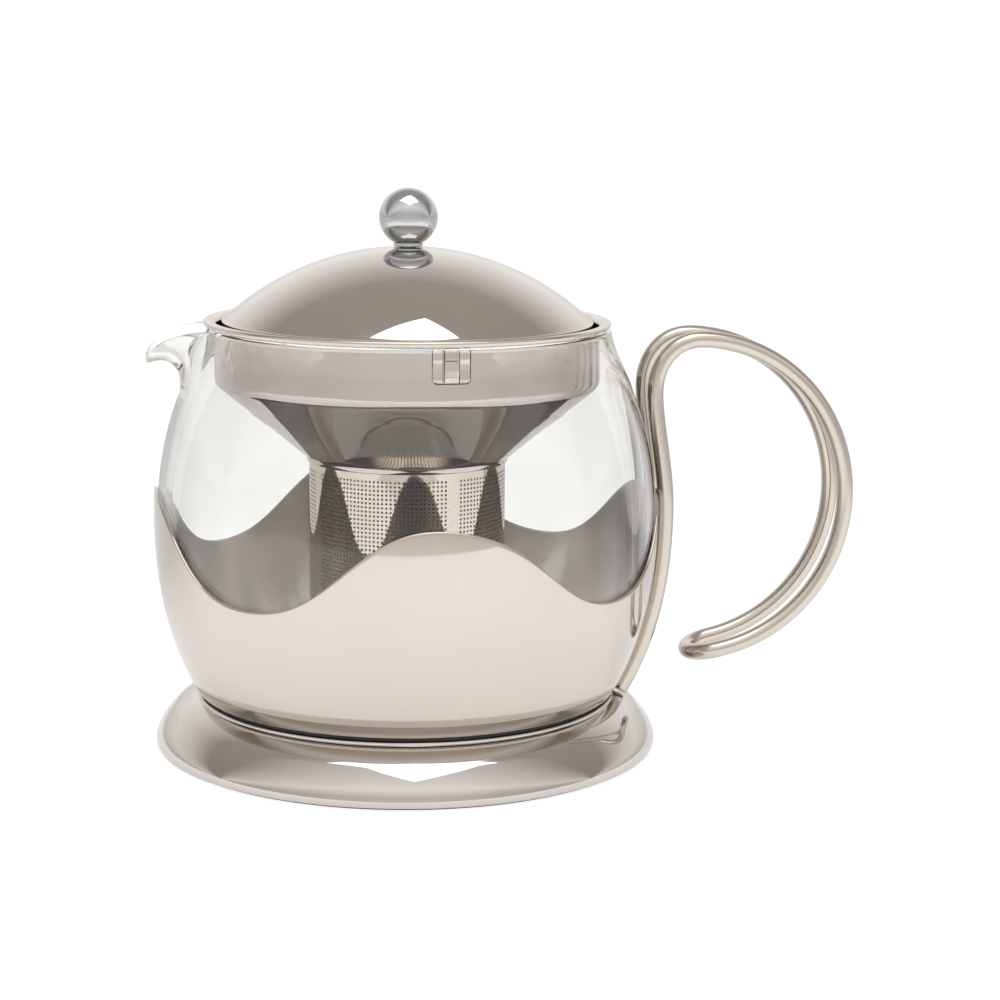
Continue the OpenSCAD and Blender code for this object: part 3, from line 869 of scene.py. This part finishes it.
def build_basket_floor():
    """A perforated plate, and a crimped rim that folds up around the wall."""
    low, high = SPANS["basket_floor"]
    outer, bottom = high[0], low[2]
    plate_r = outer - 1.2
    half = int(26 / FLOOR_PITCH) + 1
    cells = [(i, j) for i in range(-half, half + 1) for j in range(-half, half + 1)
             if math.hypot(i * FLOOR_PITCH, j * FLOOR_PITCH) < HOLED_R]
    octagon = [(FLOOR_HOLE_R * math.cos(TAU * (k + 0.5) / 8),
                FLOOR_HOLE_R * math.sin(TAU * (k + 0.5) / 8)) for k in range(8)]
    outline = [(plate_r * math.cos(TAU * k / 128), plate_r * math.sin(TAU * k / 128))
               for k in range(128)]
    holes = [[(i * FLOOR_PITCH + x, j * FLOOR_PITCH + y) for x, y in octagon] for i, j in cells]
    holed = set(cells)

    def is_solid(p):
        i, j = round(p[0] / FLOOR_PITCH), round(p[1] / FLOOR_PITCH)
        off = math.hypot(p[0] - i * FLOOR_PITCH, p[1] - j * FLOOR_PITCH)
        if (i, j) in holed and off < 0.3:
            return False
        return math.hypot(p[0], p[1]) < plate_r

    flat, tris = flat_triangles([outline] + holes, [], 1e-6, is_solid)
    verts, faces = thick_plate(flat, tris, lambda x, y, depth: (x, y, bottom + depth),
                               SHEET_T, 0.0)
    plate = new_object("basket_floor_plate", verts, faces, [BASKET_STEEL], sharp=50)
    fold = join(bezier([outer - 1.25, bottom], [outer - 0.5, bottom], [outer, bottom + 0.3],
                       [outer, bottom + 1.2], 10), [[outer, high[2] - 0.25]])
    rim = spun("basket_floor_crimp", sheet(fold[::-1], SHEET_T, round_start=True, round_end=False),
               [BASKET_STEEL])
    stand_for(plate, "infuser", "basket_floor")
    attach(rim, "infuser")


# ------------------------------------------------------------------ spring clips
# A clip is drawn flat: x to the right as seen from outside the collar, z up.
CLIP_T = 0.35
CLIP_HALF = 5.4
CLIP_LOW, CLIP_TOP = 115.75, 126.35
CLIP_CORNER = 1.5
CLIP_STEP = 0.35      # spacing of points along the cut lines
CLIP_TURNS = (-84.5, 35.5, 155.5)
# the leaf is cut free by a slit on both sides and below
LEAF_HALF = 1.95
LEAF_LOW, LEAF_TOP = CLIP_LOW + 0.55, 125.6
GAP_BELOW, GAP_LEFT, GAP_RIGHT = 0.34, 0.50, 0.20
# z, distance out from the collar: a bowed leaf, a step, then a tab
LEAF_LIFT = [(LEAF_LOW, 0.20), (117.4, 0.34), (119.5, 0.46), (121.8, 0.36), (122.35, 0.34),
             (122.5, 0.64), (123.4, 0.60), (124.6, 0.42), (125.6, 0.30), (126.35, 0.30)]
# z, distance out beyond PLATE_LIFT
PLATE_LIFT = 0.30
PLATE_BOW = [(116.0, 0.10), (117.0, 0.32), (119.6, 0.02), (121.2, 0.0), (122.3, 0.05),
             (122.5, 0.16), (124.4, 0.05), (125.2, 0.02), (126.35, 0.30)]


def clip_outline(inset):
    """The plate's outline moved inwards: square above, rounded corners below."""
    side, top = CLIP_HALF - inset, CLIP_TOP - inset
    right = [(p[0], p[1]) for p in arc(CLIP_HALF - CLIP_CORNER, CLIP_LOW + CLIP_CORNER,
                                       CLIP_CORNER - inset, -90, 0, 8)]
    return dense([(side, top), (-side, top)] + [(-x, z) for x, z in right[::-1]] + right)


def dense(ring):
    points = []
    for a, b in zip(ring, ring[1:] + ring[:1]):
        steps = max(1, int(math.hypot(b[0] - a[0], b[1] - a[1]) / CLIP_STEP))
        points += [(a[0] + (b[0] - a[0]) * i / steps, a[1] + (b[1] - a[1]) * i / steps)
                   for i in range(steps)]
    return points


def inside_slit(p, grow=0.0):
    x, z = abs(p[0]), p[1]
    gap = GAP_RIGHT if p[0] > 0 else GAP_LEFT
    if (LEAF_HALF - grow < x < LEAF_HALF + gap + grow
            and LEAF_LOW - GAP_BELOW - grow < z < LEAF_TOP + grow):
        return True
    return x <= LEAF_HALF + grow and LEAF_LOW - GAP_BELOW - grow < z < LEAF_LOW + grow


def edge_distance(x, z):
    x = abs(x)
    corner_x, corner_z = CLIP_HALF - CLIP_CORNER, CLIP_LOW + CLIP_CORNER
    if x > corner_x and z < corner_z:
        return CLIP_CORNER - math.hypot(x - corner_x, z - corner_z)
    return min(CLIP_HALF - x, z - CLIP_LOW, CLIP_TOP - z)


def clip_pattern():
    """Flat points and triangles of one clip."""
    left, right = -LEAF_HALF - GAP_LEFT, LEAF_HALF + GAP_RIGHT
    slit_low = LEAF_LOW - GAP_BELOW
    slit = dense([(left, LEAF_TOP), (left, slit_low), (right, slit_low), (right, LEAF_TOP),
                  (LEAF_HALF, LEAF_TOP), (LEAF_HALF, LEAF_LOW), (-LEAF_HALF, LEAF_LOW),
                  (-LEAF_HALF, LEAF_TOP)])
    inner = []
    for inset in (0.10, 0.22, 0.38, 0.60, 0.85):
        inner += clip_outline(inset)
    z = CLIP_LOW + 1.1
    while z < CLIP_TOP - 1.0:
        x = -CLIP_HALF + 1.15
        while x < CLIP_HALF - 1.0:
            inner.append((x, z))
            x += 0.4
        z += 0.3
    for z in np.arange(LEAF_LOW + 0.12, LEAF_TOP, 0.3):
        inner += [(x, z) for x in (-LEAF_HALF + 0.12, LEAF_HALF - 0.12,
                                   left - 0.12, right + 0.12)]
    loose = [p for p in inner if not inside_slit(p, 0.05) and edge_distance(*p) > 0.05]
    return flat_triangles([clip_outline(0), slit], loose, 1e-5,
                          lambda c: edge_distance(c[0], c[1]) > 0 and not inside_slit(c))


def clip_lift(x, z):
    """How far out from the collar a point of the clip lies."""
    in_leaf = abs(x) <= LEAF_HALF + 0.01 and LEAF_LOW - 0.01 <= z
    if in_leaf and z < LEAF_TOP + 0.3:
        droop = 0.06 * (1 - min(1, (LEAF_HALF - abs(x)) / 0.35)) ** 2
        return float(np.interp(z, *zip(*LEAF_LIFT))) - droop
    out = PLATE_LIFT + float(np.interp(z, *zip(*PLATE_BOW)))
    # the margins roll in to the collar, except along the top
    below_top = z < CLIP_TOP - 1.2
    if below_top or abs(x) > CLIP_HALF - 1.0:
        distance = max(edge_distance(x, z), 0) if below_top else CLIP_HALF - abs(x)
        roll = max(0.0, 1 - distance / 0.75)
        out -= (out - 0.02) * roll * roll
    return out


def clip_face_mat(face, flat):
    """1 for the painted crevice shade along the margins, widest at the right and lower edges, and
    along the left slit's border, otherwise 0.
    """
    x = sum(flat[i % len(flat)][0] for i in face) / len(face)
    z = sum(flat[i % len(flat)][1] for i in face) / len(face)
    if z > CLIP_TOP - 0.4:
        return 0
    margin = 0.42 if x > CLIP_HALF - 1.6 else 0.30 if z < CLIP_LOW + 0.6 else 0.12
    by_left_slit = -LEAF_HALF - GAP_LEFT - 0.14 < x < -LEAF_HALF + 0.02 and z < LEAF_TOP
    return 1 if edge_distance(x, z) < margin or by_left_slit else 0


def build_clips():
    flat, tris = clip_pattern()
    verts, faces, face_mats = [], [], []
    for degrees in CLIP_TURNS:
        start = math.radians(degrees)

        def place(x, z, depth):
            radius = COLLAR_R + 0.06 + depth + clip_lift(x, z)
            turn = start + x / (COLLAR_R + 0.3)
            return (radius * math.cos(turn), radius * math.sin(turn), z)

        clip_verts, clip_faces = thick_plate(flat, tris, place, CLIP_T, 0.0)
        base = len(verts)
        verts += clip_verts
        faces += [[i + base for i in face] for face in clip_faces]
        # the margins take the painted crevice shade
        face_mats += [clip_face_mat(face, flat) for face in clip_faces]
    clips = new_object("collar_spring_clips", verts, faces, [CLIP_STEEL, CLIP_PAINTED_SHADE], face_mats,
                       sharp=35)
    stand_for(clips, "infuser", "spring_clips")


# ------------------------------------------------------------------ lid
DOME_R = 79.7         # radius of the sphere


def build_dome():
    low, high = SPANS["lid_dome"]
    outer, bottom = high[0], low[2]
    centre_z = high[2] - DOME_R
    edge = math.degrees(math.asin(outer / DOME_R))
    cap = arc(0, centre_z, DOME_R, 90, 90 - edge + 0.45, 110)
    hem = bezier(cap[-1], cap[-1] + np.array([0.45, -0.35]), [outer + 0.02, bottom + 1.0],
                 [outer, bottom + 0.45], 8)
    line = join([[BORE_R, centre_z + math.sqrt(DOME_R ** 2 - BORE_R ** 2)]], cap[4:], hem[1:])
    dome = spun("lid_domed_shell", sheet(line, 0.8), [LID_STEEL], steps=256)
    stand_for(dome, "lid", "lid_dome")


def build_skirt():
    low, high = SPANS["lid_skirt"]
    outer, bottom = high[0], low[2]
    line = join([[outer, high[2]], [outer, bottom + 8], [outer, bottom + 1.6]],
                bezier([outer, bottom + 1.6], [outer, bottom + 0.6], [outer - 0.3, bottom],
                       [outer - 1.0, bottom + 0.05], 8))
    skirt = spun("lid_locating_skirt", sheet(line, 0.6), [SKIRT_STEEL])
    stand_for(skirt, "lid", "lid_skirt")


def build_ball():
    """Ball with a flat underside and a blind hole up into it."""
    low, high = SPANS["knob_ball"]
    bottom = low[2]
    radius = (high[1] - low[1]) / 2
    centre_z = high[2] - radius
    flat_turn = math.degrees(math.asin((bottom - centre_z) / radius))
    flat_r = radius * math.cos(math.radians(flat_turn))
    loop = join([[0, bottom + 9], [BORE_R, bottom + 9], [BORE_R, bottom + 0.3], [2.4, bottom],
                 [flat_r - 0.25, bottom]],
                arc(0, centre_z, radius, flat_turn + 1.5, 90, 96))
    ball = spun("knob_ball_turned", loop, [KNOB_STEEL], steps=160, closed=False)
    stand_for(ball, "lid", "knob_ball")


def build_neck():
    low, high = SPANS["knob_neck"]
    bottom, top = low[2], high[2]
    fillet = 0.25
    side = high[1] - fillet
    loop = join([[BORE_R, bottom], [side, bottom]],
                arc(side, bottom + fillet, fillet, -90, 0, 5),
                arc(side, top - fillet, fillet, 0, 90, 5), [[BORE_R, top]])
    neck = spun("knob_neck_collar", loop, [KNOB_STEEL], steps=96)
    stand_for(neck, "lid", "knob_neck")


def dress_cad_pieces():
    """The hidden pieces keep their CAD shape."""
    for name, mat in (("glass_seat_pad", SILICONE), ("base_studs", MACHINED_STEEL),
                      ("base_washers", MACHINED_STEEL), ("base_nuts", MACHINED_STEEL),
                      ("knob_washer", MACHINED_STEEL), ("knob_screw", MACHINED_STEEL)):
        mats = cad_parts[name].data.materials
        mats.clear()
        mats.append(mat)


# ------------------------------------------------------------------ stage, metres
VIEW_TURN = math.radians(-6.5)    # of the camera about Z, from straight -Y
TO_CAM = (math.sin(VIEW_TURN), -math.cos(VIEW_TURN), 0.0)
TO_RIGHT = (math.cos(VIEW_TURN), math.sin(VIEW_TURN), 0.0)


def stage_point(side, near, z=0.0):
    """A point given as distances to the camera's right and towards the camera, and height."""
    return tuple(np.array(TO_RIGHT) * side + np.array(TO_CAM) * near + np.array([0, 0, z]))


def stage_sheet(name, corners):
    mesh = bpy.data.meshes.new(name)
    mesh.from_pydata(corners, [], [(0, 1, 2, 3)])
    obj = bpy.data.objects.new(name, mesh)
    scene.collection.objects.link(obj)
    return obj


def floor_material():
    """White to the camera; in mirrors, dimmer behind the pot and far to the sides."""
    n = Material("floor_white")
    grain = n.noise(n.object_xyz(), scale=60, detail=3)
    shade = n.mix_rgb(grain, (0.93, 0.93, 0.93, 1), (0.95, 0.95, 0.95, 1))
    path = n.add("ShaderNodeLightPath").outputs
    straight = n.math("LESS_THAN", path["Glossy Depth"], 0.5)
    near = n.dot(n.object_xyz(), TO_CAM)
    side = n.dot(n.object_xyz(), TO_RIGHT)
    dim = n.math("MAXIMUM", n.remap(near, source=(-0.16, 0.02), target=(1.0, 0.0)),
                 n.remap(n.math("ABSOLUTE", side), source=(0.42, 0.70), target=(0.0, 0.85)))
    dim_share, straight_glow, mirror_glow = 0.9, 0.70, 0.17
    shade = n.mix_rgb(n.math("MULTIPLY", dim, dim_share), shade, (0.68, 0.67, 0.66, 1))
    shade = n.mix_rgb(straight, shade, (0.20, 0.20, 0.20, 1))
    glow = n.math("MULTIPLY", straight, straight_glow)
    dim_mirrored = n.math("MULTIPLY", dim, n.math("SUBTRACT", 1.0, straight))
    base_glow = n.math("MULTIPLY", n.math("SUBTRACT", 1.0, dim_mirrored), mirror_glow)
    return n.finish(n.add("ShaderNodeBsdfPrincipled", {
        "Base Color": shade, "Roughness": 0.8, "Specular IOR Level": 0.2,
        "Emission Color": (1, 1, 1, 1), "Emission Strength": n.math("ADD", glow, base_glow)}))


def build_floor():
    near, far = 0.45, 6.0
    floor = stage_sheet("floor", [stage_point(-far, near), stage_point(far, near),
                                  stage_point(far, -far), stage_point(-far, -far)])
    floor.data.materials.append(floor_material())


# the studio as polished steel mirrors it: degrees, brightness along an arc over the pot, with
# 0 at the horizon behind the camera, 90 overhead and 180 at the horizon behind the pot
ROOM = [(-20, 1.1), (0, 0.8), (20, 0.8), (45, 1.2), (70, 0.9), (95, 0.5), (125, 0.5),
        (150, 1.0), (165, 1.1), (180, 0.8)]
ARC_START, ARC_RANGE = -40.0, 220.0    # degrees covered by the colour ramp
ROOM_STRENGTH = 2.0
WHITE_STRENGTH = 1.10


def room_ramp(sky, position):
    def shade(brightness):
        # the dim parts of the room are warmer than the bright ones
        warmth = min(max((1.15 - brightness) / 0.7, 0.0), 1.0)
        level_ = brightness / ROOM_STRENGTH
        return (level_, level_ * (1 - 0.075 * warmth), level_ * (1 - 0.15 * warmth), 1)

    node = sky.add("ShaderNodeValToRGB", {0: position})
    elements = node.color_ramp.elements
    stops = [(min(max((degrees - ARC_START) / ARC_RANGE, 0.0), 1.0), shade(brightness))
             for degrees, brightness in ROOM]
    first, last = elements[0], elements[1]
    first.position, last.position = stops[0][0], stops[-1][0]
    first.color, last.color = stops[0][1], stops[-1][1]
    for place, color in stops[1:-1]:
        elements.new(place).color = color
    return node.outputs[0]


def build_world():
    """Mirrors see the studio; everything else sees plain white."""
    world = bpy.data.worlds.new("studio")
    scene.world = world
    world.use_nodes = True
    sky = Nodes(world.node_tree)

    def calc(op, a, b=0.0):
        return sky.add("ShaderNodeMath", {0: a, 1: b, 2: 0.0}, operation=op).outputs[0]

    def multiplied(first, second):
        return sky.add("ShaderNodeMix", {0: 1.0, 6: first, 7: second}, data_type="RGBA",
                       blend_type="MULTIPLY").outputs[2]

    direction = sky.add("ShaderNodeTexCoord").outputs["Generated"]
    unit = sky.add("ShaderNodeVectorMath", {0: direction}, operation="NORMALIZE").outputs[0]
    right = sky.dot(unit, TO_RIGHT)
    near = sky.dot(unit, TO_CAM)
    height = sky.add("ShaderNodeSeparateXYZ", {0: unit}).outputs[2]
    to_degrees = 180 / math.pi
    raw_arc = calc("MULTIPLY", calc("ARCTAN2", height, near), to_degrees)
    wrap = calc("MULTIPLY", calc("LESS_THAN", raw_arc, -90.0), 360.0)
    arc_degrees = calc("ADD", raw_arc, wrap)
    side = calc("MULTIPLY", calc("ARCSINE", right), to_degrees)
    position = calc("DIVIDE", calc("ADD", arc_degrees, -ARC_START), ARC_RANGE)
    # a little dimmer to both sides
    fall = sky.remap(calc("ABSOLUTE", side), source=(15.0, 65.0), target=(1.0, 0.8))
    fall_color = sky.add("ShaderNodeCombineXYZ", {0: fall, 1: fall, 2: fall}).outputs[0]
    studio = multiplied(room_ramp(sky, position), fall_color)
    tinted = multiplied(studio, (1.0, 0.995, 0.985, 1))
    path = sky.add("ShaderNodeLightPath").outputs
    room = sky.add("ShaderNodeBackground", {0: tinted, 1: ROOM_STRENGTH})
    white = sky.add("ShaderNodeBackground", {0: (1, 1, 1, 1), 1: WHITE_STRENGTH})
    mirrored = calc("MULTIPLY", calc("GREATER_THAN", path["Glossy Depth"], 0.5),
                    calc("SUBTRACT", 1.0, path["Is Diffuse Ray"]))
    mix = sky.add("ShaderNodeMixShader", {0: mirrored, 1: white.outputs[0], 2: room.outputs[0]})
    sky.add("ShaderNodeOutputWorld", {0: mix.outputs[0]})


BOX_Z = 0.85
BOX_SCALE = 0.692
BOX_SIDE = 0.68 * BOX_SCALE
BOX_RADIANCE = 2.4
# corners of the bright face before scaling: to the right, towards the camera
BOX_CORNERS = [(0.10, -0.12), (0.69, 0.28), (0.08, 0.88), (-0.55, 0.24)]


def build_softbox():
    """One softbox overhead: a lamp for the light, and its bright face for the mirrors."""
    def box_point(side, near, z):
        return stage_point(side * BOX_SCALE, near * BOX_SCALE, z)

    lamp = bpy.data.lights.new("softbox_overhead", "AREA")
    lamp.energy = BOX_RADIANCE * math.pi * BOX_SIDE ** 2
    lamp.shape = "RECTANGLE"
    lamp.size = BOX_SIDE
    lamp.size_y = BOX_SIDE
    light = bpy.data.objects.new("softbox_overhead", lamp)
    light.location = box_point(0.08, 0.33, BOX_Z + 0.01)
    light.rotation_euler = (0, 0, VIEW_TURN + math.radians(46))
    light.visible_glossy = False
    light.visible_camera = False
    scene.collection.objects.link(light)

    face = stage_sheet("softbox_face", [box_point(*corner, BOX_Z) for corner in BOX_CORNERS])
    n = Material("softbox_face")
    face.data.materials.append(
        n.finish(n.add("ShaderNodeEmission", {0: (1, 1, 1, 1), 1: BOX_RADIANCE})))
    for kind in ("camera", "diffuse", "transmission", "shadow", "volume_scatter"):
        setattr(face, "visible_" + kind, False)


def build_camera():
    distance, height = 0.70963, 0.20352
    pan, pitch, roll = -0.0393, 0.18092, 0.01157    # radians; a positive pitch looks down
    data = bpy.data.cameras.new("camera")
    data.sensor_width = 36
    data.lens = 86.4
    data.clip_end = 50
    camera = bpy.data.objects.new("camera", data)
    scene.collection.objects.link(camera)
    scene.camera = camera
    heading = VIEW_TURN + pan
    ahead = np.array([-math.sin(heading), math.cos(heading), 0.0])
    right = np.array([math.cos(heading), math.sin(heading), 0.0])
    forward = math.cos(pitch) * ahead - math.sin(pitch) * np.array([0, 0, 1.0])
    up = np.cross(right, forward)
    axis_x = math.cos(roll) * right + math.sin(roll) * up
    axis_y = -math.sin(roll) * right + math.cos(roll) * up
    position = stage_point(0, distance, height)
    rows = [tuple(row) for row in np.stack([axis_x, axis_y, -forward, position], 1)]
    camera.matrix_world = Matrix((*rows, (0, 0, 0, 1)))


def set_render():
    # light passes two glass walls on the way in and on the way out, so paths are long
    scene.cycles.max_bounces = 28
    scene.cycles.transmission_bounces = 24
    scene.cycles.glossy_bounces = 10
    scene.view_settings.view_transform = "Standard"
    scene.view_settings.look = "None"


build_glass()
build_cradle()
build_handle()
build_base()
build_gasket()
build_foot()
build_funnel()
build_basket_wall()
build_basket_floor()
build_clips()
build_dome()
build_skirt()
build_ball()
build_neck()
dress_cad_pieces()
build_floor()
build_world()
build_softbox()
build_camera()
set_render()
